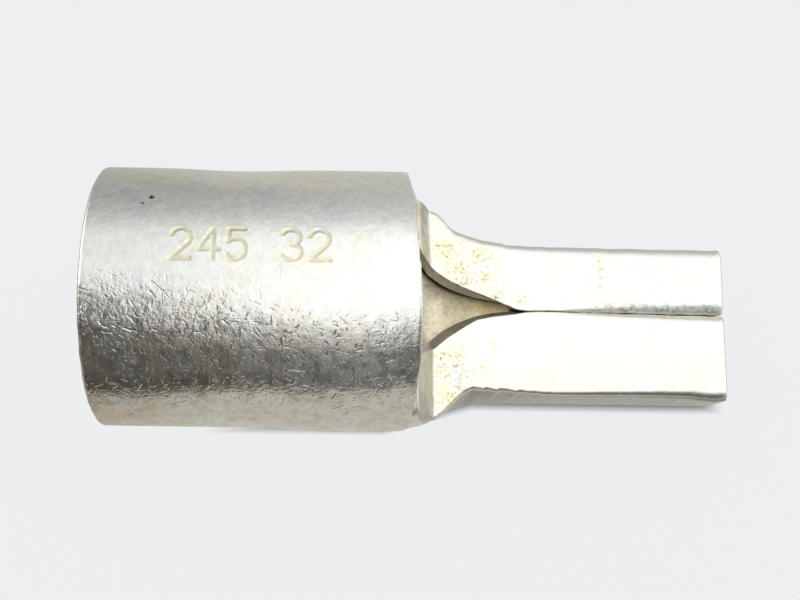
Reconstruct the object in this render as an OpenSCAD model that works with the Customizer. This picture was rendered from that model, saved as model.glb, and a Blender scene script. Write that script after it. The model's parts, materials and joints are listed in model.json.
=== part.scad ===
// Pin terminal for a stranded conductor, pressed from one piece of tinned copper tube.
// The barrel stays a full tube. Past a saw cut its upper wall is gone, and the trough that is left
// is necked in and folded over itself into a flat two-layer pin with a seam along its top.
// Frame: origin on the bore axis at the barrel's mouth, +X towards the pin, +Z up.

/* [Barrel] */
// Outside diameter of the tube
barrel_od = 32; // [30:0.5:36]
// Bore that takes the stripped conductor
barrel_bore = 24.5; // [22:0.5:26]
// Length of the full tube, from its mouth to the saw cut
barrel_l = 36; // [28:0.5:50]
// Broken outer edge at the mouth
edge_break = 0.4; // [0.1:0.1:0.8]
// How far the press has swelled the wall out on the -Y side, just before the saw cut
swell = 0.8; // [0.2:0.1:0.9]
// Length of the swell, back from the saw cut
swell_l = 22; // [16:1:26]

/* [Neck] */
// Height above the bore axis at which the saw cut stops
cut_z = 6; // [3:0.5:7]
// Width of the saw cut
kerf = 0.8; // [0.5:0.1:1.5]
// From the saw cut to the edge of the punch that flattened the flaps
punch_l = 5.3; // [4:0.1:6]
// From the saw cut to where the sides run straight
neck_l = 12.5; // [10:0.5:15]
// From the saw cut to the point where the two flaps meet
window_l = 17; // [15:0.5:20]
// Width of the sight window at the punch edge
window_w = 12.4; // [8:0.2:14]
// Further opening of the window between the punch edge and the saw cut
window_flare = 4.4; // [2:0.2:5]
// How far a flap's sawn edge leans in towards the seam
edge_lean = 0.8; // [0:0.1:1.2]
// Height left under the flaps at the punch edge
root_gap = 0.8; // [0.4:0.1:1.5]

/* [Pin] */
// Length of the pin side, from the saw cut to the tip, along the top of the seam
pin_l = 44.5; // [36:0.5:60]
// How far the cut at the tip runs off square, in degrees, with the +Y side longer
tip_skew = 7; // [0:0.5:9]
// How far the cut at the tip leans, in degrees, with the bottom longer
tip_lean = 16; // [0:1:20]
// Width of the pin
pin_w = 20; // [17:0.5:22]
// Thickness of the pin, both layers
pin_t = 10; // [9:0.5:12]
// Radius of the folds along the top of the pin
fold_r = 0.5; // [0.4:0.1:1.5]
// Radius of the corners along the bottom of the pin
base_r = 1; // [0.8:0.1:2.5]
// Slit between the two flaps along the seam
seam_gap = 0.3; // [0.2:0.05:0.5]
// Slit between the two layers
layer_gap = 0.3; // [0.2:0.05:0.5]
// Width of the seam groove at the tip
groove_w = 3.2; // [2:0.1:4]
// Depth of the seam groove at the tip
groove_d = 1.4; // [0.8:0.1:2]
// From the tip back to where the groove runs out
groove_l = 23; // [15:0.5:26]

/* [Hidden] */
$fn = 96;
// Overlap that joins the tube, the neck and the pin
lap = 1;
// The neck lies this much inside the faces that it runs into
skin = 0.03;
outer_r = barrel_od / 2;
bore_r = barrel_bore / 2;
wall = outer_r - bore_r;
// Shares of the swell's length that rise, and that stay full
swell_rise = 0.6;
swell_full = 0.2;
pin_half = pin_w / 2;
pin_top = pin_t - outer_r;
// Thickness of one pressed layer of the pin
layer = (pin_t - layer_gap) / 2;
// Thickness of the trough's floor under the punch edge
base_t = pin_t - wall - root_gap;
// How far the pin's lower corners stand outside the tube's round
corner_out = norm([pin_half, outer_r]) - outer_r;
// Tightest inner corner of the trough, where it closes to the slit
crease_r = layer_gap / 4;
// Start of the straight pin, past the saw cut
pin_from = window_l + lap;
// The pin's longest corner at the tip, past the end of the seam
tip_reach = pin_half * tan(tip_skew) + pin_t * tan(tip_lean);
// Points on each round of the neck's section, and on each flap's top fold
round_n = 12;
fold_n = 6;
// Sections along the ramp at the root, and along the window
ramp_n = 4;
window_n = 16;
// Share of the window's edge that bows outwards at its root
window_bow = 0.15;

function mix(a, b, t) = a + (b - a) * t;
function ramp(a, b, x) = min(1, max(0, (x - a) / (b - a)));
function ease(a, b, x) = let(t = ramp(a, b, x)) t * t * (3 - 2 * t);

// Sizes of the neck's section at x past the saw cut
function side_y(x) = mix(outer_r, pin_half, ease(punch_l / 2, neck_l, x)) - skin;
function low_r(x) = mix(outer_r, base_r, ease(0, neck_l, x)) - skin;
function top_z(x) = mix(cut_z, pin_top, ramp(kerf, punch_l, x)) - skin;
function flap_t(x) = mix(wall, layer, ramp(punch_l, window_l, x)) - 2 * skin;
function flap_y(x) = let(
    u = 1 - ramp(punch_l, window_l, x),
    spread = mix(u, pow(u, 5), window_bow),
    root = ramp(punch_l, kerf, x))
    seam_gap / 2 + skin + (window_w - seam_gap) / 2 * spread + window_flare / 2 * root;
function edge_y(x) = max(seam_gap / 2 + skin, flap_y(x) - edge_lean);
function floor_t(x) = mix(mix(wall, base_t, ease(0, punch_l, x)), layer, ramp(punch_l, window_l, x)) - skin;
function reach_r(x) = outer_r - skin + corner_out * ease(kerf + lap, neck_l, x);

// Points of an arc, and a point held inside a round about the bore axis
function arc(c, r, a, b, n) = [for (i = [0 : n]) let(t = mix(a, b, i / n)) c + r * [cos(t), sin(t)]];
function within(p, r) = p * min(1, r / norm(p));

// Half of the folded section from the bottom out and over to the flap's edge, then back under the flap
function outside(x) = let(
    w = side_y(x), z = top_z(x), base = skin - outer_r, r = min(low_r(x), z - fold_r - base))
    [for (p = concat(
        [[0, base]],
        arc([w - r, base + r], r, -90, 0, round_n),
        arc([w - fold_r, z - fold_r], fold_r, 0, 90, fold_n),
        [[flap_y(x), z]]))
        within(p, reach_r(x))];
function inside(x) = let(
    t = floor_t(x), r = max(low_r(x) - t, crease_r), c = [side_y(x) - t - r, t - outer_r + r],
    z = top_z(x) - flap_t(x), a = -asin(max(0, (c.y - z) / r)), w = c.x + r * cos(a), e = edge_y(x))
    concat(
        [for (i = [0 : fold_n + 1]) [mix(e, w, i / (fold_n + 1)), z]],
        arc(c, r, a, -90, round_n),
        [[0, t - outer_r]]);
function flipped(points) = [for (i = [len(points) - 1 : -1 : 0]) [-points[i].x, points[i].y]];
function tail(points) = [for (i = [1 : len(points) - 1]) points[i]];
function head(points) = [for (i = [0 : len(points) - 2]) points[i]];

// The whole section as one loop, from the left flap's edge under the pin to the right one and back
function section(x) = concat(flipped(tail(outside(x))), outside(x), inside(x), flipped(head(inside(x))));

// Tube with its mouth's outer edge broken
module tube(l) {
    rotate([0, 90, 0])
        rotate_extrude()
            polygon([
                [bore_r, 0],
                [outer_r - edge_break, 0],
                [outer_r, edge_break],
                [outer_r, l],
                [bore_r, l]]);
}

// Swell in the wall: a blunt ring set off the tube's axis, so that only one side of it stands out
module swelling() {
    inner = bore_r + swell + skin;
    foot = outer_r - swell - skin;
    from = barrel_l - swell_l;
    translate([0, -swell, 0])
        rotate([0, 90, 0])
            rotate_extrude()
                polygon([
                    [inner, from],
                    [foot, from],
                    [outer_r, from + swell_rise * swell_l],
                    [outer_r, from + (swell_rise + swell_full) * swell_l],
                    [foot, barrel_l + kerf],
                    [inner, barrel_l + kerf]]);
}

// Tube and swell, sawn away above the cut
module barrel() {
    tube_l = barrel_l + kerf + lap;
    difference() {
        union() {
            tube(tube_l);
            swelling();
        }
        translate([barrel_l, -barrel_od, cut_z])
            cube([tube_l, 2 * barrel_od, barrel_od]);
        translate([barrel_l + kerf, -barrel_od, 0])
            cube([tube_l, 2 * barrel_od, barrel_od]);
    }
}

// Loft of the folded section from the saw cut to the straight pin
module neck() {
    stations = concat(
        [for (i = [0 : ramp_n]) mix(kerf, punch_l, i / ramp_n)],
        [for (i = [1 : window_n]) mix(punch_l, window_l, i / window_n)],
        [pin_from + lap]);
    half = len(outside(kerf));
    ring = len(section(kerf));
    last = (len(stations) - 1) * ring;
    points = [for (x = stations) for (p = section(x)) [barrel_l + x, p.x, p.y]];
    skin_faces = [
        for (j = [0 : len(stations) - 2])
        for (i = [0 : ring - 1])
        let(a = j * ring + i, b = j * ring + (i + 1) % ring)
        each [[a, b + ring, b], [a, a + ring, b + ring]]];
    end_faces = [
        for (i = [0 : 2 * half - 3])
        let(a = i, b = i + 1, c = ring - 2 - i, d = ring - 1 - i)
        each [[a, b, c], [a, c, d], [last + a, last + c, last + b], [last + a, last + d, last + c]]];
    polyhedron(points, concat(skin_faces, end_faces), convexity = 6);
}

// Corner that a radius takes off a square edge
module corner(r) {
    difference() {
        square(r);
        translate([r, r])
            circle(r);
    }
}

// Section of the pressed pin: two layers, parted by the seam and the slit under it
module pin_section() {
    difference() {
        translate([-pin_half, -outer_r])
            square([pin_w, pin_t]);
        for (side = [0, 1])
            mirror([side, 0]) {
                translate([-pin_half, -outer_r])
                    corner(base_r);
                translate([-pin_half, pin_top])
                    mirror([0, 1])
                        corner(fold_r);
            }
        translate([-seam_gap / 2, layer - outer_r])
            square([seam_gap, pin_t]);
        translate([layer - pin_half, layer - outer_r])
            square([pin_w - 2 * layer, layer_gap]);
    }
}

// Groove that opens between the two folded flaps towards the tip
module seam_groove() {
    // The wedge stands twice as wide and high as the groove, to clear the top and the tip
    translate([barrel_l + pin_l - groove_l, 0, pin_top])
        rotate([0, atan(groove_d / groove_l), 0])
            rotate([90, 0, 90])
                linear_extrude(2 * groove_l)
                    polygon([[0, 0], [groove_w, 2 * groove_d], [-groove_w, 2 * groove_d]]);
}

// Room beyond the slanting cut at the tip
module past_tip() {
    room = pin_w + pin_t;
    translate([barrel_l + pin_l, 0, pin_top])
        rotate([0, -tip_lean, -tip_skew])
            translate([0, -room, -room])
                cube(2 * room);
}

module pin() {
    difference() {
        translate([barrel_l + pin_from, 0, 0])
            rotate([90, 0, 90])
                linear_extrude(pin_l + tip_reach + lap - pin_from)
                    pin_section();
        seam_groove();
        past_tip();
    }
}

module terminal() {
    color("#c9c6bd") {
        barrel();
        neck();
        pin();
    }
}

terminal();
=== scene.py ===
import bpy
import json
from functools import partial
import numpy as np
from mathutils import Matrix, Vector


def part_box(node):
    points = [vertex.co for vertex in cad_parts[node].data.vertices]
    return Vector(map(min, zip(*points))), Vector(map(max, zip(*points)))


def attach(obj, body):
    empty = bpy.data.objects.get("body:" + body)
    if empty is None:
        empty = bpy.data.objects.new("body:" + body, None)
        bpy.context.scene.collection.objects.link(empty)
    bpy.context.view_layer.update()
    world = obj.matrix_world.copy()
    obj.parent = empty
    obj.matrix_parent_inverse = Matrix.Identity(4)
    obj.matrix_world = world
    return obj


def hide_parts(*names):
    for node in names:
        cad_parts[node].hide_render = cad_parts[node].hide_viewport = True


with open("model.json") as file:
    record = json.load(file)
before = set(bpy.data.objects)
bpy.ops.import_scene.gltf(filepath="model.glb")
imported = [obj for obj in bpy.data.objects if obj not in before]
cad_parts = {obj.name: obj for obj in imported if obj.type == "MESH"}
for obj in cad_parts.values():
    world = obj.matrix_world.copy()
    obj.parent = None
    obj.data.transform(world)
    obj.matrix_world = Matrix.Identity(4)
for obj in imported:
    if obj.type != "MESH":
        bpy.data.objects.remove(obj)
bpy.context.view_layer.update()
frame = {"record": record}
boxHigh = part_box("terminal")[1]
cableBore = next(m for m in frame["record"]["mounts"] if m["name"] == "cable_bore")
mm = 0.001
rng = np.random.default_rng(24)

# lengths are in mm and +y is the far side; along the tube x is counted from its mouth,
# along the neck and the pin from the saw cut
tube = dict(
    outerR=boxHigh.y / mm - 0.02,  # a hair inside the solid, room for burrs
    boreR=cableBore["dims"]["r_mm"],
    length=cableBore["dims"]["length_mm"],
    mouthRound=0.45,
    mouthNick=0.05,
    boreRound=0.2,
    rimRound=0.22,
    rimRough=0.03,
    rimSkew=0.4,  # the saw ran this much further on the near side
    skewEnd=3.0,  # past the cut, its skew is gone from here on
    swell=0.4,  # the press pushed the near wall out before the cut
    swellX=(19, 28.5, 32.5, 38.5),  # where the swell starts, is full, begins to fade and ends
    rowsUp=140,
    columns=150,
)
# points (x, thickness) of the floor under the flaps, which rises towards the window's end
neck = dict(
    cutZ=6.0,
    kerf=0.8,
    punchL=5.3,
    neckL=12.5,
    windowL=17.0,
    bevel=0.14,
    floor=((0, 3.73), (5.3, 5.5), (8, 5.7), (14, 7.1), (16.8, 8.1), (20, 4.85)),
    wallMost=6.8,  # the side walls stay thinner than the floor is there
)
pin = dict(
    length=44.5,
    thick=10.0,
    baseR=1.0,
    slit=0.3,
    grooveL=23.0,
    tipRound=0.3,
    tipSkew=np.tan(np.radians(7)),
    tipLean=np.tan(np.radians(16)),
    nearLean=np.tan(np.radians(24.5)),  # the press drew the near corner out
    leanY=(3, -10),  # from the one lean to the other
)
# the two flaps aren't alike: points (x, size) of the ramp's height, the half widths at the top and at the
# bottom, the sawn edge's distance from the middle at its top and its underside, the flap's thickness, the
# radius of its fold and how ragged its edges are; a nick is x, height and half width
far = dict(
    sign=1,
    ramp=((0.8, 6), (2.6, 0), (3.9, -3.6), (5.9, -6)),
    top=((0, 16), (5, 15.9), (6.4, 15.5), (7.2, 15.1), (8, 14.3), (8.7, 13.2), (9.5, 12.6), (11.9, 11.7),
         (13.8, 11.2), (15.7, 10.9), (16, 10.7), (22, 10.45), (32, 10.45), (44, 10.5)),
    low=((0, 16), (4, 15.9), (6, 15.1), (8.4, 13), (10.6, 11.6), (13, 10.7), (18, 10.2)),
    edge=((0.8, 9.9), (3.5, 8.7), (5.4, 7.2), (6.5, 6.1), (7.7, 5.2), (9.8, 4.07), (12, 3.15), (14.2, 2.25),
          (16.3, 1.25), (17.2, 0.84), (26, 0.79), (34, 0.85), (44, 0.83)),
    under=((0.8, 9.9), (3.5, 8.8), (5.4, 7.2), (7.7, 5.2), (9.8, 4.1), (12, 3.3), (15.8, 2.4), (18.8, 2.2),
           (44, 1.7)),
    flap=((0, 3.73), (5.3, 3.1), (8, 2.9), (14, 2.2), (16.8, 1.6), (20, 4.85)),
    fold=((5, 0.4), (8, 1.3), (16, 1.3), (24, 1.5), (44, 1.9)),
    rag=((5.3, 0), (6.3, 0.03)),
    nicks=((6.1, -0.25, 0.2), (15.9, 0.1, 0.2)),
    grooveHalf=1.5,  # half of the groove along the seam, as it is at the tip
    grooveD=0.85,
    burr=0.5,  # the punch pushed up a burr across the ramp
    burrX=3.9,
    burrHalf=0.3,
)
near = dict(
    sign=-1,
    ramp=((0.8, 6), (5, -6)),
    top=((0, 16), (2.8, 15.1), (4.8, 14), (6.3, 13.1), (7.2, 12.1), (9, 10.6), (10.4, 9.85), (13, 10),
         (17, 10.25), (21.7, 10.5), (26.6, 10.48), (33, 10.4), (39.5, 10.5), (43, 10.85), (44.2, 10.65)),
    low=((0, 16), (2.8, 15.2), (5.6, 13.8), (8.3, 11.8), (10.6, 10.8), (13.1, 10.2), (18, 10), (42.8, 10),
         (44.2, 9.5)),
    edge=((0.8, 8.6), (2.6, 6.9), (4.3, 5.25), (5.5, 4.3), (7.1, 3.1), (9.4, 1.75), (11.7, 0.4),
          (14, -0.02), (16.7, -0.38), (18, -0.64), (19.5, -0.77), (27, -0.74), (31, -0.72), (44, -0.64)),
    under=((0.8, 7), (2.6, 5.2), (4.3, 3.6), (5.5, 2.75), (7.1, 1.63), (9.4, 0.5), (11.7, -0.41),
           (14, -0.85), (17, -1.1), (44, -1.1)),
    flap=((0, 3.73), (4, 3), (5.3, 2.4), (8, 2), (14, 1.5), (16.8, 1.3), (20, 4.85)),
    fold=((5, 0.3), (9, 0.6), (20, 0.6), (32, 0.8), (44, 1.3)),
    rag=((5.3, 0), (6.3, 0.015)),
    nicks=((11.9, 0.1, 0.25), (13.6, 0.16, 0.22), (16.1, 0.13, 0.2), (19.8, 0.1, 0.3)),
    grooveHalf=0.9,
    grooveD=0.75,
    punchSkew=0.45,  # the punch stood askew: its edge lies further on between these y and up to this x
    punchY=(-14, -5, -3, 0),
    punchEnd=10.0,
)
rows = dict(wall=46, fold=6, flap=14)
soft = dict(side=0.3, edge=0.5, ramp=0.12)  # how far the corners in the points above are rounded

outerR = tube["outerR"]
boreR = tube["boreR"]
pinTop = pin["thick"] - outerR
flapRows = rows["fold"] + rows["flap"]


# straight blend of a and b
def mix(a, b, t):
    return a + (b - a) * t


# 0 up to a, 1 from b on, straight between them
def ramp(a, b, x):
    return np.clip((x - a) / (b - a), 0, 1)


# the same with soft ends: three times the square less twice the cube
def ease(a, b, x):
    t = ramp(a, b, x)
    return t * t * (3 - 2 * t)


# line through the points, its corners rounded by the mean over a short stretch
def curve(x, points, stretch):
    px, py = np.array(points).T
    return np.mean([np.interp(x + d * stretch, px, py) for d in (-1, -0.5, 0, 0.5, 1)], axis=0)


# smooth random line: white noise run through a bell of the given width, scaled to unit spread
def roughLine(count, width):
    reach = int(3 * width) + 1
    bell = np.exp(-0.5 * (np.arange(-reach, reach + 1) / width) ** 2)
    line = np.convolve(rng.normal(size=count + 2 * reach), bell, "valid")
    return line / line.std()


# lower corner of the folded section: the tube's round, closing to the pin's corner
def lowR(x):
    return mix(outerR, pin["baseR"], ease(0, neck["neckL"], x))


# half of the folded section, from the bottom's middle out and over to the flap's edge:
# flat bottom, corner, side wall by arc length, then the fold's quarter round and the flap's top,
# and the same rows inside: floor, inner corner, then back under the flap
def halfSection(x, side):
    rough = curve(x, side["rag"], soft["side"])
    ragTop = (rough * roughLine(len(x), 1.0))[:, None]
    ragEdge = (rough * roughLine(len(x), 0.8))[:, None]
    x = x[:, None]
    bevel = neck["bevel"]
    fold = curve(x, side["fold"], soft["side"])
    z = curve(x, side["ramp"], soft["ramp"])  # the flap's top
    nicks = sum(high * np.exp(-(((x - middle) / wide) ** 2)) for middle, high, wide in side["nicks"])
    w = np.minimum(curve(x, side["top"], soft["side"]), outerR) + ragTop + nicks  # half width at the top
    wLow = np.minimum(curve(x, side["low"], soft["edge"]), outerR)  # half width at the bottom
    f = curve(x, side["edge"], soft["edge"]) + ragEdge  # the sawn edge, from the middle
    r = lowR(x)

    h = z - fold + outerR  # the side's height up to the fold
    lift = np.minimum(r, h - np.minimum(1.5, 0.3 * h))  # the corner's, which leaves some straight wall
    phi = np.arccos(1 - lift / r)
    flatL = wLow - r
    arcL = r * phi
    ya = flatL + r * np.sin(phi)
    sideL = np.hypot(w - ya, h - lift)
    s = np.linspace(0, 1, rows["wall"], endpoint=False) * (flatL + arcL + sideL)
    turn = np.clip((s - flatL) / r, 0, phi)
    climb = np.clip((s - flatL - arcL) / sideL, 0, 1)
    y1 = np.minimum(s, flatL) + r * np.sin(turn) + (w - ya) * climb
    z1 = -outerR + r * (1 - np.cos(turn)) + (h - lift) * climb

    a = np.linspace(0, np.pi / 2, rows["fold"])
    y2 = w - fold + fold * np.cos(a)
    z2 = z - fold + fold * np.sin(a)

    # the groove along the seam opens towards the tip, quickly at first
    t = 1 - (1 - np.linspace(0, 1, rows["flap"] + 1)[1:]) ** 1.5
    y3 = mix(w - fold, f + bevel, t)
    parted = ramp(pin["length"] - pin["grooveL"], pin["length"], x) ** 0.6
    half = side["grooveHalf"] * parted + 0.01
    dip = np.clip(1 - (y3 - f) / half, 0, 1)
    z3 = z - side["grooveD"] * parted * dip**1.3
    outside = np.stack([np.hstack([y1, y2, y3]), np.hstack([z1, z2, z3])], axis=-1)

    th = curve(x, neck["floor"], soft["side"])
    ri = np.maximum(r - th, pin["slit"] / 4)  # the inner corner, about the point cy, cz
    cy = wLow - np.minimum(th, neck["wallMost"]) - ri
    cz = th - outerR + ri
    under = z - curve(x, side["flap"], soft["side"])  # the flap's underside
    drop = np.arcsin(np.clip((cz - under) / ri, 0, 1))
    rise = np.maximum(under - cz, 0)
    arcL = ri * (np.pi / 2 - drop)
    s = np.linspace(0, 1, rows["wall"] + rows["fold"]) * (cy + arcL + rise)
    turn = np.clip((s - cy) / ri, 0, np.pi / 2 - drop)
    y4 = np.minimum(s, cy) + ri * np.sin(turn)
    z4 = th - outerR + ri * (1 - np.cos(turn)) + np.clip(s - cy - arcL, 0, rise)
    e = curve(x, side["under"], soft["edge"])
    t = np.linspace(0, 1, rows["flap"] + 1)[1:]
    y5 = mix(cy + ri * np.cos(drop), e + bevel, t)
    z5 = under + 0 * y5
    inside = np.stack([np.hstack([y4, y5]), np.hstack([z4, z5])], axis=-1)

    # rounded sawn edge between the two: quarter round, face, quarter round
    zTop = z3[:, -1:]
    a = np.radians([30, 60, 90])
    b = np.radians([0, 30, 60])
    face = np.array([1 / 3, 2 / 3])
    y6 = np.hstack([f + bevel * (1 - np.sin(a)), mix(f, e, face), e + bevel * (1 - np.cos(b))])
    z6 = np.hstack([zTop - bevel * (1 - np.cos(a)),
                    mix(zTop - bevel, under + bevel, face),
                    under + bevel * (1 - np.sin(b))])
    edge = np.stack([y6, z6], axis=-1)

    # near the cut the outside stays within the tube's round
    corner = np.hypot(side["top"][-1][1], outerR) - outerR
    reach = outerR + corner * ease(neck["kerf"] + 1, neck["neckL"], x)
    outside = outside * np.minimum(1, reach / np.linalg.norm(outside, axis=-1))[..., None]
    sign = np.array([side["sign"], 1])
    return outside * sign, inside * sign, edge * sign


# both halves as one run of rows from the far edge under the pin to the near edge
def joinHalves(farHalf, nearHalf):
    return np.concatenate([farHalf[:, ::-1], nearHalf[:, 1:]], axis=1)


# stations along the neck and the pin, closest together over the ramps and then over the window
stations = np.concatenate([
    np.linspace(0, neck["kerf"], 6),
    np.linspace(neck["kerf"], 7, 50)[1:],
    np.linspace(7, 18, 42)[1:],
    np.linspace(18, pin["length"] - pin["tipRound"], 46)[1:],
])
loft = np.maximum(stations, neck["kerf"])
farOut, farIn, farEdge = halfSection(loft, far)
nearOut, nearIn, nearEdge = halfSection(loft, near)
burr = far["burr"] * np.exp(-(((loft - far["burrX"]) / far["burrHalf"]) ** 2))
farOut[:, -flapRows:, 1] += burr[:, None] * (0.5 + 0.5 * roughLine(flapRows, 0.9))
neckOut = joinHalves(farOut, nearOut)
neckIn = joinHalves(farIn, nearIn)
print("folded section, stations and rows", neckOut.shape[:2])


# angles from the top towards the far side of the tube's lower rows, taken from the first section,
# with the flap's rows drawn together under the cut
def tubeAngles(half, radius, spread):
    fromBottom = np.arctan2(half[0, :, 0], -half[0, :, 1])
    cut = np.pi - np.arccos(neck["cutZ"] / radius)
    fromBottom[-spread:] = np.linspace(fromBottom[-spread - 1], cut, spread + 1)[1:]
    return np.concatenate([np.pi - fromBottom[::-1], np.pi + fromBottom[1:]])


outerLow = tubeAngles(farOut, outerR, flapRows)
innerLow = tubeAngles(farIn, boreR, rows["flap"])
cutOuter = np.arccos(neck["cutZ"] / outerR)
cutInner = np.arccos(neck["cutZ"] / boreR)

# plain size numbers, bore and outside, struck into the top; the place is x from the mouth and the angle in
# degrees from the top, and the strokes are in units of a number's width
stamp = dict(
    text="245 32",
    x0=9.6,
    angle0=-3.0,
    width=2.15,
    height=3.55,
    pitch=2.95,
    depth=0.05,
    stroke=0.19,
    lip=0.015,
)
glyphHigh = 1.6


# points of an arc or of part of an oval, angles in degrees
def arcStroke(cx, cy, r, a0, a1, ry):
    a = np.radians(np.linspace(a0, a1, 12))
    return np.stack([cx + r * np.cos(a), cy + ry * np.sin(a)], axis=-1)


glyphs = {
    "2": [np.vstack([arcStroke(0.5, 1.1, 0.48, 165, -35, 0.5), [[0.02, 0.0]], [[1.0, 0.0]]])],
    "3": [arcStroke(0.46, 1.18, 0.44, 155, -85, 0.42), arcStroke(0.46, 0.4, 0.5, 85, -155, 0.4)],
    "4": [np.array([[0.72, 0.0], [0.72, glyphHigh], [0.0, 0.48], [1.0, 0.48]])],
    "5": [np.vstack([[[0.92, glyphHigh]], [[0.16, glyphHigh]], [[0.08, 0.88]],
                     arcStroke(0.46, 0.52, 0.5, 125, -150, 0.54)])],
}


# shortest distance from each point to the strokes of the numbers, on the unrolled tube
def stampDistance(x, v):
    best = np.full(x.shape, 9.0)
    scale = (stamp["width"], stamp["height"] / glyphHigh)
    v0 = np.radians(stamp["angle0"]) * outerR
    for order, letter in enumerate(stamp["text"]):
        for stroke in glyphs.get(letter, []):
            p = stroke * scale + (stamp["x0"] + order * stamp["pitch"], v0)
            a, b = p[:-1], p[1:]
            d = b - a
            px = x[..., None] - a[:, 0]
            pv = v[..., None] - a[:, 1]
            t = np.clip((px * d[:, 0] + pv * d[:, 1]) / (d**2).sum(axis=1), 0, 1)
            best = np.minimum(best, np.hypot(px - t * d[:, 0], pv - t * d[:, 1]).min(axis=-1))
    return best


# rows over the top of the tube, closer together under the numbers
stampLow = np.radians(stamp["angle0"] - 3)
stampHigh = np.radians(stamp["angle0"] + 3) + stamp["height"] / outerR
fineRows = 44
restRows = tube["rowsUp"] - fineRows
nearRows = int(restRows * (stampLow + cutOuter) / (2 * cutOuter - stampHigh + stampLow))
outerUp = np.concatenate([
    np.linspace(-cutOuter, stampLow, nearRows + 1)[1:],
    np.linspace(stampLow, stampHigh, fineRows + 1)[1:],
    np.linspace(stampHigh, cutOuter, restRows - nearRows + 1)[1:-1],
])
innerUp = outerUp * cutInner / cutOuter
outerAngle = np.concatenate([outerLow, outerUp + 2 * np.pi])
innerAngle = np.concatenate([innerLow, innerUp + 2 * np.pi])
lowCount = len(outerLow)

# columns along the tube, closer together under the numbers
fineFrom = stamp["x0"] - 0.6
fineTo = stamp["x0"] + len(stamp["text"]) * stamp["pitch"]
fineColumns = 104
startColumns = 18
outerX = np.concatenate([
    np.linspace(tube["mouthRound"], fineFrom, startColumns),
    np.linspace(fineFrom, fineTo, fineColumns)[1:],
    np.linspace(fineTo, tube["length"], tube["columns"] - startColumns - fineColumns)[1:],
])

# the sawn rim is rounded and a little rough above the cut only, so its share comes in over the first rows
aboveCut = np.concatenate([np.zeros(lowCount), ease(0, 0.3, cutOuter - np.abs(outerUp))])
rimWobble = np.concatenate([np.zeros(lowCount), tube["rimRough"] * roughLine(len(outerUp), 2.0)]) * aboveCut


# the cut's skew fades out towards the far side and the bottom
def rimShift(y, z):
    return tube["rimSkew"] * ease(4, -10, y) * ease(-10, 4, z)


# the swell stands out most square to the near side, and only on the outside
def swelled(points):
    x, y, z = points[..., 0], points[..., 1], points[..., 2]
    x0, x1, x2, x3 = tube["swellX"]
    full = ease(x0, x1, x) * ease(x3, x2, x) * ramp(boreR, outerR, np.hypot(y, z))
    points[..., 1] -= tube["swell"] * full * ease(0.1, 0.95, -y / outerR)
    return points


endX = tube["length"] - tube["rimRound"] * aboveCut + rimWobble
endX = endX + rimShift(outerR * np.sin(outerAngle), outerR * np.cos(outerAngle))

# profile of the tube, row by row: bore, broken edge, mouth face, broken edge, outside
quarter = np.linspace(0, np.pi / 2, 5)
boreX = np.linspace(1, tube["boreRound"] / tube["length"], 18)
faceT = np.linspace(0, 1, 6)[1:-1]
profileR = np.concatenate([
    np.full(len(boreX), boreR),
    boreR + tube["boreRound"] * (1 - np.cos(quarter[1:])),
    mix(boreR + tube["boreRound"], outerR - tube["mouthRound"], faceT),
    outerR - tube["mouthRound"] * (1 - np.sin(quarter[:-1])),
    np.full(len(outerX), outerR),
])
profileX = np.concatenate([
    boreX * tube["length"],
    tube["boreRound"] * (1 - np.sin(quarter[1:])),
    np.zeros(len(faceT)),
    tube["mouthRound"] * (1 - np.cos(quarter[:-1])),
    outerX,
])
turnShare = ramp(boreR, outerR, profileR)
angle = mix(innerAngle[:, None], outerAngle[:, None], turnShare)
barrelX = profileX[None] * endX[:, None] / tube["length"]
barrelR = profileR[None] + 0 * angle

# wear of the outside: long soft waves, a shallow flat on the far side where the tube was held, dents from
# the tumbling drum, each a long bell turned at random, and the struck numbers with a raised lip
wear = dict(
    wave=0.02,
    flatX=16.5,
    flatV=20.0,  # round the tube from the top
    flatR=6.0,
    flatDepth=0.3,
    dents=260,
    dentDepth=0.012,
    dentLong=(0.5, 1.3),
    dentShort=(0.2, 0.5),
)
outsideCols = slice(len(profileR) - len(outerX), None)
unrolled = ((angle + np.pi) % (2 * np.pi) - np.pi) * outerR
wornX = barrelX[:, outsideCols]
wornV = unrolled[:, outsideCols]
depth = wear["wave"] * (1 + np.sin(wornX / 5.1 + 0.7) * np.cos(wornV / 7.3 + wornX / 11))
fromFlat = np.hypot(wornX - wear["flatX"], wornV - wear["flatV"]) / wear["flatR"]
depth = depth + wear["flatDepth"] * np.exp(-(fromFlat**2))
for i in range(wear["dents"]):
    cx, cv = rng.uniform(0, tube["length"]), rng.uniform(-np.pi, np.pi) * outerR
    lean = rng.uniform(0, np.pi)
    longR, shortR = rng.uniform(*wear["dentLong"]), rng.uniform(*wear["dentShort"])
    du = (wornX - cx) * np.cos(lean) + (wornV - cv) * np.sin(lean)
    dv = (wornV - cv) * np.cos(lean) - (wornX - cx) * np.sin(lean)
    dent = np.exp(-((du / longR) ** 2) - (dv / shortR) ** 2)
    depth = depth + wear["dentDepth"] * rng.uniform(0.3, 1) * dent
strokeD = stampDistance(wornX, wornV)
struck = np.exp(-((strokeD / stamp["stroke"]) ** 4))
raised = np.exp(-(((strokeD - 1.7 * stamp["stroke"]) / (0.6 * stamp["stroke"])) ** 2))
depth = depth + stamp["depth"] * struck - stamp["lip"] * raised
fade = ramp(0, 0.6, wornX) * ramp(0, 0.5, tube["length"] - wornX)
barrelR[:, outsideCols] -= np.maximum(depth, 0) * fade
mouthNick = tube["mouthNick"] * np.abs(roughLine(len(outerAngle), 2.5))
edgeCols = (turnShare > 0.8) & (profileX < tube["mouthRound"])
barrelX[:, edgeCols] += mouthNick[:, None] * ramp(0.8, 1, turnShare[edgeCols])
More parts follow.
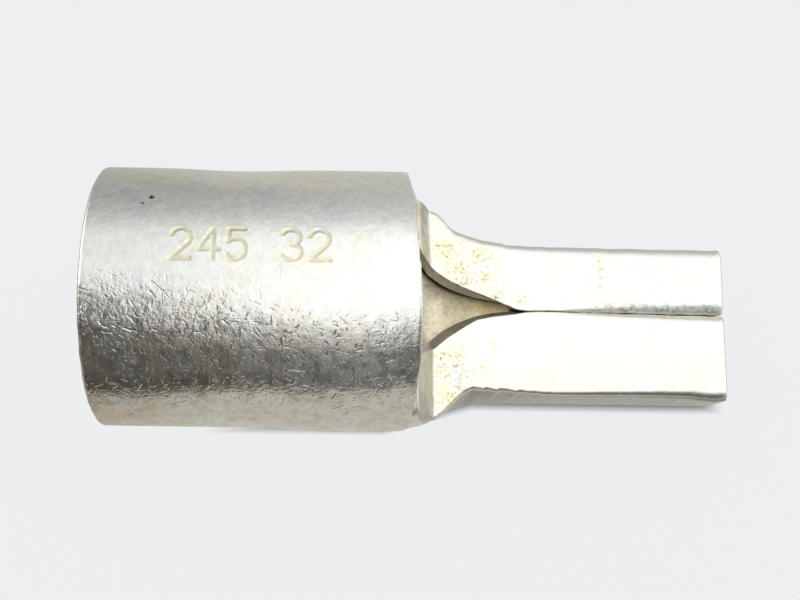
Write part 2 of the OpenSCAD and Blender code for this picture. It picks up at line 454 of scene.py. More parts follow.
barrelPoints = swelled(np.stack([barrelX, barrelR * np.sin(angle), barrelR * np.cos(angle)], axis=-1))
print("barrel, rows and columns", barrelPoints.shape[:2])

# past the cut the rows leave the tube's round for the folded section within the saw's width
leave = ease(0, neck["kerf"], stations)[:, None, None]


# points (y, z) on a round about the bore's axis
def onRound(radius, a):
    return np.stack([radius * np.sin(a), radius * np.cos(a)], axis=-1)[None]


neckOut = mix(onRound(outerR, outerLow), neckOut, leave)
neckIn = mix(onRound(boreR, innerLow), neckIn, leave)
# shares of the way across a narrow face, close together at its two broken edges
edgeT = np.array([0.02, 0.05, 0.09, 0.36, 0.64, 0.91, 0.95, 0.98])[:, None]
rimT = np.array([0.01, 0.03, 0.06, 0.3, 0.7, 0.94, 0.97, 0.99])
tipT = np.array([0.02, 0.05, 0.1, 0.35, 0.65, 0.9, 0.95, 0.98])[:, None]
farEdge = mix(mix(neckOut[0, 0], neckIn[0, 0], edgeT)[None], farEdge, leave)
nearEdge = mix(mix(neckOut[0, -1], neckIn[0, -1], edgeT)[None], nearEdge, leave)


# section points (y, z) to their place: shifted along x by the punch's skew, by the saw's skew, and by the
# slanting cut at the tip, to which the straight part of the pin is sheared
def place(points):
    y, z = points[..., 0], np.maximum(points[..., 1], -outerR)
    x = np.broadcast_to(stations[:, None], y.shape)
    y0, y1, y2, y3 = near["punchY"]
    punched = ramp(neck["kerf"], neck["punchL"], x) * ramp(near["punchEnd"], neck["punchL"], x)
    punched = punched * ramp(y0, y1, y) * ramp(y3, y2, y) * (z < neck["cutZ"])
    x = x + near["punchSkew"] * punched
    x = x + rimShift(y, z) * ramp(tube["skewEnd"], 0, x)
    slant = y * pin["tipSkew"] + (pinTop - z) * mix(pin["tipLean"], pin["nearLean"], ramp(*pin["leanY"], y))
    x = x + slant * ramp(neck["windowL"] + 1, pin["length"], x)
    return np.stack([x + tube["length"], np.clip(y, -outerR, outerR), z], axis=-1)


neckOut = swelled(place(neckOut))
neckIn = place(neckIn)
farEdge = place(farEdge)
nearEdge = swelled(place(nearEdge))

# rim over the cut: from the outside over two small rounds to the bore
upRows = slice(lowCount, None)
rimOut = np.sin(np.radians([30, 60, 90, 90, 90, 90, 60, 30]))
rimAngle = mix(outerAngle[upRows, None], innerAngle[upRows, None], rimT)
rimR = mix(outerR, boreR, rimT) + 0 * rimAngle
rimX = endX[upRows, None] + tube["rimRound"] * aboveCut[upRows, None] * rimOut
rimPoints = swelled(np.stack([rimX, rimR * np.sin(rimAngle), rimR * np.cos(rimAngle)], axis=-1))

# tip: the end face between the outside and the slit, with its edges broken
tipOut = np.sin(np.radians([40, 70, 90, 90, 90, 90, 70, 40]))
tipPoints = mix(neckOut[-1][1:-1, None], neckIn[-1][1:-1, None], tipT)
tipPoints[..., 0] += pin["tipRound"] * tipOut

# one closed skin from the patches: each is stored once and its indices are shared with its neighbours
stored = []


def store(points):
    start = sum(len(p) for p in stored)
    stored.append(points.reshape(-1, 3))
    return start + np.arange(points[..., 0].size).reshape(points.shape[:-1])


barrelIds = store(barrelPoints)
outIds = np.vstack([barrelIds[:lowCount, -1], store(neckOut[1:])])
inIds = np.vstack([barrelIds[:lowCount, 0], store(neckIn[1:])])
farIds = store(farEdge)
nearIds = store(nearEdge)
rimIds = store(rimPoints)
tipIds = store(tipPoints)
vertices = np.vstack(stored)
farStrip = np.column_stack([outIds[:, 0], farIds, inIds[:, 0]])
nearStrip = np.column_stack([outIds[:, -1], nearIds, inIds[:, -1]])
rimStrip = np.vstack([
    nearStrip[0],
    np.column_stack([barrelIds[upRows, -1], rimIds, barrelIds[upRows, 0]]),
    farStrip[0],
])
tipStrip = np.vstack([
    farStrip[-1],
    np.column_stack([outIds[-1, 1:-1], tipIds, inIds[-1, 1:-1]]),
    nearStrip[-1],
])


# length along the rows of a patch, in mm, so that marks keep their size on every face
def runLength(ids, axis):
    steps = np.linalg.norm(np.diff(vertices[ids], axis=axis), axis=-1)
    return np.insert(np.cumsum(steps, axis=axis), 0, 0, axis=axis)


# unrolled coordinates: along the part, and round it from the bottom's middle
def unroll(ids, shift):
    u = np.broadcast_to(runLength(ids[:, :1], 0), ids.shape)
    v = runLength(ids, 1)
    return np.stack([u, v - v[:, [ids.shape[1] // 2]] + shift], axis=-1)


# the four corners of each cell of a grid, of its indices or of its coordinates
def quads(grid):
    cells = np.stack([grid[:-1, :-1], grid[1:, :-1], grid[1:, 1:], grid[:-1, 1:]], axis=2)
    return cells.reshape(-1, 4, *grid.shape[2:])


# indices and unrolled coordinates of each patch; the shifts keep them apart, so that no two share marks
ringIds = np.vstack([barrelIds, barrelIds[:1]])
ringV = (np.append(outerAngle, outerAngle[0] + 2 * np.pi) - np.pi) * outerR
ringU = runLength(barrelIds[lowCount // 2:lowCount // 2 + 1], 1)
ringUv = np.stack(np.broadcast_arrays(ringU - ringU[0, -1] + tube["length"], ringV[:, None]), axis=-1)
outUv = unroll(outIds, 0) + (tube["length"], 0)
patches = [
    (ringIds, ringUv),
    (outIds[:, ::-1], outUv[:, ::-1]),
    (inIds, unroll(inIds, 200)),
    (farStrip, unroll(farStrip, 300)),
    (nearStrip[:, ::-1], unroll(nearStrip, 350)[:, ::-1]),
    (rimStrip, unroll(rimStrip, 400)),
    (tipStrip, unroll(tipStrip, 450)),
]
faces = np.vstack([quads(ids) for ids, uv in patches])[:, ::-1]
faceUv = np.vstack([quads(uv) for ids, uv in patches])[:, ::-1]
mesh = bpy.data.meshes.new("terminal_skin")
mesh.from_pydata(vertices * mm, [], faces)
mesh.uv_layers.new(name="skin").uv.foreach_set("vector", faceUv.astype(np.float32).ravel())
print("skin, vertices", len(vertices), "quads", len(faces))

# zones for the finish and for painted shade and a painted highlight, each a share from 0 to 1 at every
# vertex, apart from the distance to the strokes; each ramp gives where its zone starts and where it is full
outX, outY, outZ = np.moveaxis(neckOut[1:], -1, 0)
outX = outX - tube["length"]
nearRamp = ease(0.5, 1.2, stations) * ease(5.4, 4.9, stations)
farRamp = ease(3.9, 4.4, stations) * ease(5.9, 5.4, stations)
# along the far ramp's burr the tin is painted near white: a painted highlight
torn = np.exp(-(((stations - far["burrX"]) / 0.4) ** 2))
onTop = ramp(-7.4, -6.2, outZ) * ramp(5, 6, outX)
# the pin's side walls, the near one fully and the far one by a quarter, take a dark grey coat: painted
# shade
wallShade = ramp(-6.2, -6.9, outZ) * ramp(8.5, 9.3, np.abs(outY)) * ramp(6, 9, outX)
wallShade = wallShade * np.where(outY < 0, 1, 0.25)
kerfShare = ramp(neck["kerf"] + 0.2, neck["kerf"] - 0.2, stations)
seamShare = onTop * ramp(24, 32, outX) * np.where(outY > 0.7, ramp(2.3, 1.6, outY), 0)

# the pits at the flaps' roots stand in clusters, each a bell of its own size: x, y and radius
clusters = (
    (9.4, 6.5, 1.2), (10.4, 5, 1), (7.6, 9.5, 1.3), (12.3, 8.6, 0.9), (14.6, 2.6, 0.8), (13, 5.5, 0.6),
    (6.6, -8, 1.1), (8.6, -6, 1.2), (7.6, -10.8, 1.3), (9.6, -8.6, 0.9), (6.4, -5.6, 0.8), (12, -7, 0.9),
)
pitShare = onTop * np.where(outY > 0.8, ease(17, 14, outX), ease(15, 8, outX))
cluster = 0.25 + sum(np.exp(-((outX - cx) ** 2 + (outY - cy) ** 2) / size**2) for cx, cy, size in clusters)
pitShare = pitShare * np.minimum(cluster, 1)
# faint lines where the press struck twice: x, y, and the half sizes along both
struckLines = ((28.9, 6, 0.22, 3.6), (17.6, 2.4, 0.9, 0.7), (14.3, 8.8, 0.2, 1.6), (13.6, -4.4, 0.3, 1.3))
for cx, cy, wide, high in struckLines:
    line = 0.7 * np.exp(-(((outX - cx) / wide) ** 2) - ((outY - cy) / high) ** 4)
    pitShare = np.maximum(pitShare, onTop * line)

# under the flaps the inside is painted near black away from the window: painted shade in the crevice
inX, inY = stations[1:, None], neckIn[1:, :, 1]
farDeep = inY - curve(inX, far["under"], soft["edge"])
nearDeep = -inY - curve(inX, near["under"], soft["edge"])
crevice = ramp(0, 0.6, np.where(inY > 0, farDeep, nearDeep)) * ramp(0.5, 2, inX)

# the near side lay lower in the drum and is beaten more, and the top is rubbed bright; apart from that, the
# near side takes darker brown and blue-grey patches and a warm beige, strongest towards the mouth
skinX, skinY = vertices[:, 0], vertices[:, 1]
lowSide = -1.5 - 3.7 * ramp(8, 26, skinX) - skinY
grimed = ramp(1, 5, lowSide) * mix(0.45, 1, ramp(-14.5, -12, skinY))
beaten = 0.1 + 0.9 * ramp(0, 3.5, lowSide) + 0.4 * ramp(3, 8, skinY)
soiled = ramp(-5, -9, skinY) * mix(0.35, 1, ramp(32, 2, skinX))
giltIn = ramp(7, 13, skinX - tube["length"])
giltEdge = ramp(19, 23, stations)[:, None]
giltSeam = 0.65 * ramp(18, 22, stations)[:, None]
allIds = np.arange(len(vertices))
farFlap, nearFlap = outIds[:, :flapRows], outIds[:, -flapRows:]
zones = dict(
    tin=[(allIds, 1), (outIds[1:], 1 - 0.75 * onTop)],
    grimed=[(allIds, grimed), (outIds[1:], 0), (inIds, 0), (farIds, 0), (nearIds, 0)],
    beaten=[(allIds, beaten), (outIds[1:], 0.6 - 0.4 * onTop), (inIds, 0), (farIds, 0), (nearIds, 0)],
    soiled=[(allIds, soiled)],
    stroke=[(allIds, 2), (barrelIds[:, outsideCols], np.minimum(strokeD, 2))],
    inside=[(inIds, 1), (barrelIds[:, :len(boreX)], 1)],
    gilt=[(inIds, giltIn[inIds]), (farIds, giltEdge), (nearIds, giltEdge),
          (outIds[:, :1], giltSeam), (outIds[:, -2:], giltSeam)],
    crevice=[(inIds[1:], crevice)],
    sawn=[(farFlap, kerfShare[:, None]), (nearFlap, kerfShare[:, None]),
          (farIds, 1), (nearIds, 1), (rimIds, 1), (tipIds, 0.4)],
    pressed=[(farFlap, farRamp[:, None]), (nearFlap, nearRamp[:, None])],
    torn=[(farFlap, torn[:, None])],
    wall=[(outIds[1:], wallShade)],
    pitted=[(outIds[1:], pitShare)],
    seam=[(outIds[1:], seamShare)],
)
for zone, members in zones.items():
    values = np.zeros(len(vertices), np.float32)
    for ids, value in members:
        values[ids] = value
    mesh.attributes.new(zone, "FLOAT", "POINT").data.foreach_set("value", values)
mesh.shade_smooth()
terminal = bpy.data.objects.new("terminal_skin", mesh)
bpy.context.collection.objects.link(terminal)
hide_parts("terminal")
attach(terminal, "root")
print("zones for the finish", ", ".join(zones))


# sRGB hex to linear, with alpha
def linear(hexColour):
    c = np.array([int(hexColour[i:i + 2], 16) for i in (1, 3, 5)]) / 255
    c = np.where(c <= 0.04045, c / 12.92, ((c + 0.055) / 1.055) ** 2.4)
    return (*c.tolist(), 1.0)


# adds one node: settings are its properties, inputs are values or sockets to link
def addNode(tree, kind, inputs=None, **settings):
    made = tree.nodes.new(kind)
    for key, value in settings.items():
        setattr(made, key, value)
    for key, value in (inputs or {}).items():
        if isinstance(value, bpy.types.NodeSocket):
            tree.links.new(value, made.inputs[key])
        else:
            made.inputs[key].default_value = value
    return made


def newMaterial(name):
    material = bpy.data.materials.new(name)
    material.use_nodes = True
    material.node_tree.nodes.clear()
    return material, material.node_tree


# the tin's own look: sizes and heights in mm; the real grain is finer, and is drawn this coarse to show
finish = dict(
    colour="#dfe2df",
    dentSize=1.111,
    dentHigh=0.058,
    grainSize=0.4545,
    grainHigh=0.022,
    smooth=0.42,  # share of both where the tin isn't beaten, and what beating adds
    beaten=0.65,
    bendSize=0.769,  # the marks are bent this much over this size
    bend=0.2,
    roughLow=0.14,
    roughHigh=0.26,
    duller=dict(inside=0.3, sawn=0.25, pressed=0.25, seam=0.25),
)
# tumbling marks in mm: spacing, half length, half width and depth of the one mark in each cell
marks = [
    dict(size=4.2, short=0.7, long=1.5, wide=0.06, deep=0.026),
    dict(size=2.2, short=0.35, long=0.85, wide=0.08, deep=0.034),
    dict(size=1.5, short=0.25, long=0.55, wide=0.08, deep=0.034),
    dict(size=1.0, short=0.2, long=0.4, wide=0.07, deep=0.028),
    dict(size=0.7, short=0.12, long=0.25, wide=0.06, deep=0.021),
]
# stains laid over the tin in this order: the zone they keep to, the size of a patch in mm, the stretch of
# the noise over which the colour comes in, and how much of it; from 0 to 0.01 it is an even coat; the coats
# in the crevice under the flaps and on the pin's side walls are painted shade, the near-white one along the
# burr a painted highlight
stains = [
    dict(zone="tin", colour="#dfddd4", size=4.5, low=0.5, high=0.7, most=1.0),
    dict(zone="tin", colour="#d6dadb", size=4.5, low=0.48, high=0.3, most=1.0),
    dict(zone="tin", colour="#a39c94", size=0.9, low=0.42, high=0.68, most=0.2),
    dict(zone="soiled", colour="#d2c4ab", size=4.0, low=0.3, high=0.6, most=0.7),
    dict(zone="grimed", colour="#7e6d62", size=1.5, low=0.49, high=0.61, most=0.4),
    dict(zone="grimed", colour="#747880", size=1.9, low=0.48, high=0.36, most=0.35),
    dict(zone="inside", colour="#f8f0d8", size=1.0, low=0.0, high=0.01, most=1.0),
    dict(zone="inside", colour="#d3cebe", size=3.6, low=0.42, high=0.6, most=0.6),
    dict(zone="gilt", colour="#ecd09a", size=2.0, low=0.35, high=0.55, most=0.8),
    dict(zone="inside", colour="#b3a67f", size=0.5, low=0.46, high=0.66, most=0.45),
    # painted shade: the crevice under the flaps painted near black
    dict(zone="crevice", colour="#2e2820", size=1.0, low=0.0, high=0.01, most=1.0),
    dict(zone="sawn", colour="#e2e0dc", size=1.0, low=0.0, high=0.01, most=1.0),
    dict(zone="sawn", colour="#a39e94", size=0.8, low=0.46, high=0.7, most=0.55),
    dict(zone="pressed", colour="#c9c6ba", size=1.0, low=0.0, high=0.01, most=1.0),
    dict(zone="pressed", colour="#948f84", size=1.3, low=0.42, high=0.66, most=0.6),
    # painted highlight: near white along the burr
    dict(zone="torn", colour="#fff6e6", size=1.0, low=0.0, high=0.01, most=1.0),
    # painted shade: the pin's side walls painted dark grey; the darker patches over it are mottling
    dict(zone="wall", colour="#878480", size=1.0, low=0.0, high=0.01, most=1.0),
    dict(zone="wall", colour="#706c64", size=1.6, low=0.46, high=0.64, most=0.45),
    dict(zone="pitted", colour="#ece6be", size=4.0, low=0.32, high=0.52, most=0.9),
    dict(zone="pitted", colour="#a39e80", size=0.6, low=0.5, high=0.64, most=0.8),
    dict(zone="pitted", colour="#6b6654", size=0.45, low=0.56, high=0.7, most=0.9),
    dict(zone="seam", colour="#8f8c80", size=0.7, low=0.48, high=0.58, most=0.7),
]
# the struck numbers: distances in mm from a stroke over which it is worn, and at which its lip is yellow
numbers = dict(wornFrom=0.22, wornTo=0.1, wornMost=0.5, lipAt=0.24, lipHalf=0.09, lipMost=0.75)
# two burnt specks on the far side: place in mm and radius
specks = [
    dict(at=(7.0, 6.9, 14.4), size=0.3),
    dict(at=(6.15, 6.0, 14.8), size=0.22),
]


# electro-tinned copper, tumbled: a neutral grey-white metal, bright where it faces the light, mottled all
# over by short random marks, with pale gold in the unpolished inside and taupe on the sawn faces
def tinnedCopper():
    material, tree = newMaterial("electro_tinned_copper")
    add = partial(addNode, tree)
    skin = add("ShaderNodeUVMap", uv_map="skin").outputs[0]
    spot = add("ShaderNodeTexCoord").outputs["Object"]
    spot = add("ShaderNodeVectorMath", {0: spot, "Scale": 1 / mm}, operation="SCALE").outputs[0]
    share = {name: add("ShaderNodeAttribute", attribute_name=name).outputs["Fac"] for name in zones}

    # soft dents and grain, more of both where the tin is beaten
    dents = add("ShaderNodeTexNoise", {
        "Vector": spot, "Scale": 1 / finish["dentSize"], "Detail": 3.0, "Roughness": 0.6}).outputs["Fac"]
    grain = add("ShaderNodeTexNoise", {
        "Vector": spot, "Scale": 1 / finish["grainSize"], "Detail": 2.0}).outputs["Fac"]
    base = add("ShaderNodeMath", {0: dents, 1: finish["dentHigh"]}, operation="MULTIPLY").outputs[0]
    base = add("ShaderNodeMath", {
        0: grain, 1: finish["grainHigh"], 2: base}, operation="MULTIPLY_ADD").outputs[0]
    uneven = add("ShaderNodeMath", {
        0: share["beaten"], 1: finish["beaten"], 2: finish["smooth"]}, operation="MULTIPLY_ADD").outputs[0]
    base = add("ShaderNodeMath", {0: base, 1: uneven}, operation="MULTIPLY").outputs[0]

    # marks: each is a groove with a bell section, turned at random in its own cell of the bent skin
    bend = add("ShaderNodeTexNoise", {
        "Vector": spot, "Scale": 1 / finish["bendSize"], "Detail": 1.0}).outputs["Color"]
    bend = add("ShaderNodeVectorMath", {0: bend, 1: (0.5, 0.5, 0.5)}, operation="SUBTRACT").outputs[0]
    skin = add("ShaderNodeVectorMath", {
        0: bend, 1: (finish["bend"], finish["bend"], 0), 2: skin}, operation="MULTIPLY_ADD").outputs[0]
    scored = 0.0
    for mark in marks:
        cell = add("ShaderNodeTexVoronoi", {
            "Vector": skin, "Scale": 1 / mark["size"]}, voronoi_dimensions="2D").outputs
        chance = add("ShaderNodeSeparateColor", {0: cell["Color"]}).outputs
        away = add("ShaderNodeVectorMath", {0: skin, 1: cell["Position"]}, operation="SUBTRACT").outputs[0]
        turn = add("ShaderNodeMath", {0: chance[0], 1: 2 * np.pi}, operation="MULTIPLY").outputs[0]
        turned = add("ShaderNodeVectorRotate", {
            "Vector": away, "Angle": turn}, rotation_type="Z_AXIS").outputs[0]
        axes = add("ShaderNodeSeparateXYZ", {0: turned}).outputs
        half = add("ShaderNodeMapRange", {
            "Value": chance[1], "To Min": mark["short"], "To Max": mark["long"]}).outputs[0]
        along = add("ShaderNodeMath", {0: axes[0]}, operation="ABSOLUTE").outputs[0]
        along = add("ShaderNodeMath", {0: along, 1: half}, operation="DIVIDE").outputs[0]
        along = add("ShaderNodeMapRange", {
            "Value": along, "From Min": 1.0, "From Max": 0.5}, interpolation_type="SMOOTHSTEP").outputs[0]
        across = add("ShaderNodeMath", {0: axes[1], 1: mark["wide"]}, operation="DIVIDE").outputs[0]
        across = add("ShaderNodeMath", {0: across, 1: 2.0}, operation="POWER").outputs[0]
        across = add("ShaderNodeMath", {0: 1 / np.e, 1: across}, operation="POWER").outputs[0]
        groove = add("ShaderNodeMath", {0: along, 1: across}, operation="MULTIPLY").outputs[0]
        deep = add("ShaderNodeMapRange", {  # a quarter of the cells stays bare
            "Value": chance[2], "From Min": 0.25, "From Max": 0.75, "To Max": -mark["deep"]}).outputs[0]
        scored = add("ShaderNodeMath", {0: groove, 1: deep, 2: scored}, operation="MULTIPLY_ADD").outputs[0]
    scored = add("ShaderNodeMath", {0: scored, 1: share["beaten"]}, operation="MULTIPLY").outputs[0]
    height = add("ShaderNodeMath", {0: base, 1: scored}, operation="ADD").outputs[0]
    bump = add("ShaderNodeBump", {"Distance": mm, "Height": height}).outputs[0]

    # tin with its stains, darker in the deeper marks, worn in the struck numbers and yellow along their
    # lips
    tint = linear(finish["colour"])
    for stain in stains:
        patch = add("ShaderNodeTexNoise", {
            "Vector": spot, "Scale": 1 / stain["size"], "Detail": 4.0, "Roughness": 0.6}).outputs["Fac"]
        patch = add("ShaderNodeMapRange", {
            "Value": patch, "From Min": stain["low"], "From Max": stain["high"],
            "To Max": stain["most"]}).outputs[0]
        patch = add("ShaderNodeMath", {0: patch, 1: share[stain["zone"]]}, operation="MULTIPLY").outputs[0]
        tint = add("ShaderNodeMix", {
            0: patch, 6: tint, 7: linear(stain["colour"])}, data_type="RGBA").outputs[2]
    markDark = add("ShaderNodeMapRange", {
        "Value": scored, "From Min": -0.004, "From Max": -0.04, "To Max": 0.25}).outputs[0]
    worn = add("ShaderNodeMapRange", {
        "Value": share["stroke"], "From Min": numbers["wornFrom"], "From Max": numbers["wornTo"],
        "To Max": numbers["wornMost"]}).outputs[0]
    lip = add("ShaderNodeMath", {
        0: share["stroke"], 1: numbers["lipAt"], 2: numbers["lipHalf"]}, operation="COMPARE").outputs[0]
    patchy = add("ShaderNodeMapRange", {
        "Value": grain, "From Min": 0.35, "From Max": 0.55, "To Max": numbers["lipMost"]}).outputs[0]
    lip = add("ShaderNodeMath", {0: lip, 1: patchy}, operation="MULTIPLY").outputs[0]
    # the specks' outlines are made uneven by the grain
    burnt = 0.0
    for speck in specks:
        away = add("ShaderNodeVectorMath", {0: spot, 1: speck["at"]}, operation="DISTANCE").outputs["Value"]
        away = add("ShaderNodeMath", {
            0: grain, 1: 3 * speck["size"], 2: away}, operation="MULTIPLY_ADD").outputs[0]
        black = add("ShaderNodeMapRange", {
            "Value": away, "From Min": 2.5 * speck["size"], "From Max": 2 * speck["size"]}).outputs[0]
        burnt = add("ShaderNodeMath", {0: black, 1: burnt}, operation="MAXIMUM").outputs[0]
    for patch, colour in ((markDark, "#8f8d84"), (worn, "#b9b4a4"), (lip, "#cfc582"), (burnt, "#332e28")):
        tint = add("ShaderNodeMix", {0: patch, 6: tint, 7: linear(colour)}, data_type="RGBA").outputs[2]

    rough = add("ShaderNodeMapRange", {
        "Value": dents, "From Min": 0.3, "From Max": 0.7,
        "To Min": finish["roughLow"], "To Max": finish["roughHigh"]}).outputs[0]
    for name, more in finish["duller"].items():
        rough = add("ShaderNodeMath", {
            0: share[name], 1: more, 2: rough}, operation="MULTIPLY_ADD").outputs[0]
    shader = add("ShaderNodeBsdfPrincipled", {
        "Base Color": tint, "Metallic": 1.0, "Roughness": rough, "Normal": bump}).outputs[0]
    add("ShaderNodeOutputMaterial", {"Surface": shader})
    print("finish", material.name, "nodes", len(tree.nodes))
    return material


mesh.materials.append(tinnedCopper())

# camera fitted to the photo: lens and place in mm, tilt in degrees
view = dict(
    lens=34.09,
    sensor=36,
    lookX=21.16,
    distance=95.03,
    elevation=72.0,
    roll=0.89,
    shiftX=0.152,
    shiftY=-0.0014,
    clipStart=5,
)
camera = bpy.data.cameras.new("camera")
camera.lens = view["lens"]
camera.sensor_width = view["sensor"]
camera.shift_x = view["shiftX"]
camera.shift_y = view["shiftY"]
camera.clip_start = view["clipStart"] * mm
cameraObject = bpy.data.objects.new("camera", camera)
bpy.context.collection.objects.link(cameraObject)
tilt, roll = np.radians([view["elevation"], view["roll"]])
back = np.array([0, -np.cos(tilt), np.sin(tilt)])
up = np.array([0, np.sin(tilt), np.cos(tilt)])
right = np.array([1, 0, 0])
rolledRight = right * np.cos(roll) + up * np.sin(roll)
rolledUp = up * np.cos(roll) - right * np.sin(roll)
cameraAt = (right * view["lookX"] + back * view["distance"]) * mm
pose = np.column_stack([rolledRight, rolledUp, back, cameraAt])
cameraObject.matrix_world = Matrix([*pose.tolist(), (0, 0, 0, 1)])
bpy.context.scene.camera = cameraObject
print("camera at", cameraAt.round(4))

# pale floor: a plain even colour to the eye with part of the real light left in, so that the shadow stays;
# in the metal it shows as a pale sheet that ends a little way in front of the part; lengths in mm
tipX = tube["length"] + pin["length"]
sheet = dict(
    colour="#eceef0",
    mirrored="#efece2",
    half=3000.0,
    bright=1.02,
    bounce=0.79,  # the sheet's level in the metal, and the level past its end
    dark=0.15,
    edgeNear=-75.0,  # its end fades out from here to there, and runs askew to the right of edgeLeft
    edgeFar=-110.0,
    edgeTilt=3.0,
    edgeLeft=-5.0,
    rearY=10.0,  # behind the part it has no end
    rearSteep=10.0,
    shadeY=(11.5, 16.5),  # under the barrel it lies in the part's own shade
    shadeX=(38.0, 46.0),
    shade=0.3,
    leftX=(-12.0, 12.0),  # and it is dimmer past the barrel's mouth
    left=0.76,
    barrelFoot=13.6,  # the real shadow shows within this distance of the part's foot
    pinFoot=9.95,
    shadow=1.1,
    plainLeast=0.2,  # share of the plain colour in the shadow and away from it
    plainMost=0.96,
    fadeX=((27.0, 11.0), (tipX, tipX + 4)),  # the shadow fades out towards the part's ends
)


def paleFloor():
    material, tree = newMaterial("pale_floor")
    add = partial(addNode, tree)
    path = add("ShaderNodeLightPath").outputs
    spot = add("ShaderNodeTexCoord").outputs["Object"]
    spot = add("ShaderNodeVectorMath", {0: spot, "Scale": 1 / mm}, operation="SCALE").outputs[0]
    axes = add("ShaderNodeSeparateXYZ", {0: spot}).outputs
    aside = add("ShaderNodeMath", {0: axes["Y"]}, operation="ABSOLUTE").outputs[0]
    paper = add("ShaderNodeBsdfDiffuse", {"Color": linear(sheet["colour"])}).outputs[0]
    plain = add("ShaderNodeEmission", {
        "Color": linear(sheet["colour"]), "Strength": sheet["bright"]}).outputs[0]

    # the sheet as the metal shows it
    edge = add("ShaderNodeMath", {0: axes["X"], 1: sheet["edgeLeft"]}, operation="MAXIMUM").outputs[0]
    edge = add("ShaderNodeMath", {
        0: edge, 1: sheet["edgeTilt"], 2: axes["Y"]}, operation="MULTIPLY_ADD").outputs[0]
    rear = add("ShaderNodeMath", {
        0: axes["Y"], 1: sheet["rearSteep"], 2: -sheet["rearSteep"] * sheet["rearY"]},
        operation="MULTIPLY_ADD").outputs[0]
    edge = add("ShaderNodeMath", {0: edge, 1: rear}, operation="MAXIMUM").outputs[0]
    bounce = add("ShaderNodeMapRange", {
        "Value": edge, "From Min": sheet["edgeNear"], "From Max": sheet["edgeFar"],
        "To Min": sheet["bounce"], "To Max": sheet["dark"]}, interpolation_type="SMOOTHSTEP").outputs[0]
    shade = add("ShaderNodeMapRange", {
        "Value": aside, "From Min": sheet["shadeY"][0], "From Max": sheet["shadeY"][1],
        "To Min": sheet["shade"]}).outputs[0]
    beyond = add("ShaderNodeMapRange", {
        "Value": axes["X"], "From Min": sheet["shadeX"][0], "From Max": sheet["shadeX"][1]}).outputs[0]
    shade = add("ShaderNodeMath", {0: shade, 1: beyond}, operation="MAXIMUM").outputs[0]
    left = add("ShaderNodeMapRange", {
        "Value": axes["X"], "From Min": sheet["leftX"][0], "From Max": sheet["leftX"][1],
        "To Min": sheet["left"]}).outputs[0]
    for dimmer in (shade, left):
        bounce = add("ShaderNodeMath", {0: bounce, 1: dimmer}, operation="MULTIPLY").outputs[0]
    mirrored = add("ShaderNodeEmission", {
        "Color": linear(sheet["mirrored"]), "Strength": bounce}).outputs[0]

    # to the eye: the plain colour, with the real shadow close to the barrel's and the pin's foot
    foot = add("ShaderNodeMapRange", {
        "Value": axes["X"], "From Min": tube["length"], "From Max": tube["length"] + neck["neckL"],
        "To Min": sheet["barrelFoot"], "To Max": sheet["pinFoot"]}).outputs[0]
    away = add("ShaderNodeMath", {0: aside, 1: foot}, operation="SUBTRACT").outputs[0]
    share = add("ShaderNodeMapRange", {
        "Value": away, "From Max": sheet["shadow"],
        "To Min": sheet["plainLeast"], "To Max": sheet["plainMost"]}).outputs[0]
    for inner, outer in sheet["fadeX"]:
        past = add("ShaderNodeMapRange", {
            "Value": axes["X"], "From Min": inner, "From Max": outer,
            "To Max": sheet["plainMost"]}).outputs[0]
        share = add("ShaderNodeMath", {0: share, 1: past}, operation="MAXIMUM").outputs[0]
    share = add("ShaderNodeMath", {0: path["Is Camera Ray"], 1: share}, operation="MULTIPLY").outputs[0]
    both = add("ShaderNodeMixShader", {0: share, 1: paper, 2: plain}).outputs[0]
    both = add("ShaderNodeMixShader", {0: path["Is Glossy Ray"], 1: both, 2: mirrored}).outputs[0]
    add("ShaderNodeOutputMaterial", {"Surface": both})
    return material


floorMesh = bpy.data.meshes.new("floor")
floorCorners = np.array([(-1, -1, 0), (1, -1, 0), (1, 1, 0), (-1, 1, 0)]) * sheet["half"] - (0, 0, outerR)
floorMesh.from_pydata(floorCorners * mm, [], [(0, 1, 2, 3)])
floorMesh.materials.append(paleFloor())
floor = bpy.data.objects.new("floor", floorMesh)
bpy.context.collection.objects.link(floor)

# plain soft light all round: brightest overhead and a little behind, dim in front; sky is the level of the
# light by its place, from 0 in front to 1 behind, and directions are parts of 1 along x and y
studio = dict(
    colour="#fffffd",
    sky=((0, 0.19), (0.05, 0.23), (0.1, 0.35), (0.15, 0.58), (0.19, 0.78), (0.225, 1.06), (0.25, 1.32),
         (0.27, 1.46), (0.3, 1.5), (0.4, 1.5), (0.55, 1.48), (0.65, 1.42), (0.75, 1.4), (0.83, 1.22),
         (0.91, 0.8), (1, 0.58)),
    skyTop=1.5,
    tiltX=0.3,  # in the front half the places tilt to the sides, up to this x: square, slope and start
    tilt=(-2.9, 0.26, 0.06),
    tiltFront=(0.62, 0.48),
    sides=((-0.25, 0.15, 0.7, 1.1), (-0.45, -0.7, 1.0, 2.2), (0.17, 0.3, 1.0, 0.88)),  # x, x, level, level
    mattY=(-0.3, 0.2),  # the floor is lit from above and behind, so that the near shadow is deep
    matt=0.15,
)


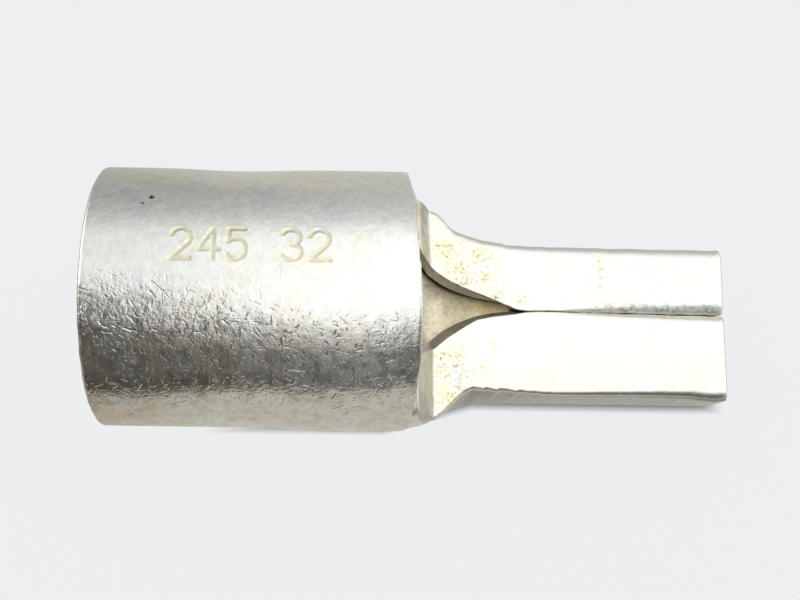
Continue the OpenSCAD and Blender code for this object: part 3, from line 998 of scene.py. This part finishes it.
def studioLight():
    world = bpy.data.worlds.new("studio")
    world.use_nodes = True
    tree = world.node_tree
    tree.nodes.clear()
    add = partial(addNode, tree)
    path = add("ShaderNodeLightPath").outputs
    axes = add("ShaderNodeSeparateXYZ", {0: add("ShaderNodeTexCoord").outputs["Generated"]}).outputs
    behind = add("ShaderNodeMath", {0: axes["Y"], 1: 0.5, 2: 0.5}, operation="MULTIPLY_ADD").outputs[0]
    sideways = add("ShaderNodeClamp", {
        "Value": axes["X"], "Min": -studio["tiltX"], "Max": studio["tiltX"]}).outputs[0]
    square, slope, start = studio["tilt"]
    tilted = add("ShaderNodeMath", {0: sideways, 1: square, 2: slope}, operation="MULTIPLY_ADD").outputs[0]
    tilted = add("ShaderNodeMath", {0: tilted, 1: sideways, 2: start}, operation="MULTIPLY_ADD").outputs[0]
    front = add("ShaderNodeMapRange", {
        "Value": behind, "From Min": studio["tiltFront"][0], "From Max": studio["tiltFront"][1]}).outputs[0]
    behind = add("ShaderNodeMath", {0: tilted, 1: front, 2: behind}, operation="MULTIPLY_ADD").outputs[0]
    levels = add("ShaderNodeValToRGB", {0: behind})
    stops = levels.color_ramp.elements
    while len(stops) < len(studio["sky"]):
        stops.new(0.5)
    for stop, (where, bright) in zip(stops, studio["sky"]):
        grey = bright / studio["skyTop"]
        stop.position = where
        stop.color = (grey, grey, grey, 1)
    level = add("ShaderNodeMath", {
        0: levels.outputs[0], 1: studio["skyTop"]}, operation="MULTIPLY").outputs[0]
    for x0, x1, first, last in studio["sides"]:
        side = add("ShaderNodeMapRange", {
            "Value": axes["X"], "From Min": x0, "From Max": x1, "To Min": first, "To Max": last}).outputs[0]
        level = add("ShaderNodeMath", {0: level, 1: side}, operation="MULTIPLY").outputs[0]
    matt = add("ShaderNodeMapRange", {
        "Value": axes["Y"], "From Min": studio["mattY"][0], "From Max": studio["mattY"][1],
        "To Min": studio["matt"]}).outputs[0]
    matt = add("ShaderNodeMath", {0: matt, 1: path["Is Glossy Ray"]}, operation="MAXIMUM").outputs[0]
    level = add("ShaderNodeMath", {0: level, 1: matt}, operation="MULTIPLY").outputs[0]
    light = add("ShaderNodeBackground", {"Color": linear(studio["colour"]), "Strength": level}).outputs[0]
    pale = add("ShaderNodeBackground", {"Color": linear(sheet["colour"]), "Strength": 1.0}).outputs[0]
    both = add("ShaderNodeMixShader", {0: path["Is Camera Ray"], 1: light, 2: pale}).outputs[0]
    add("ShaderNodeOutputWorld", {"Surface": both})
    return world


bpy.context.scene.world = studioLight()
bpy.context.scene.view_settings.view_transform = "Standard"
print("floor and light ready")
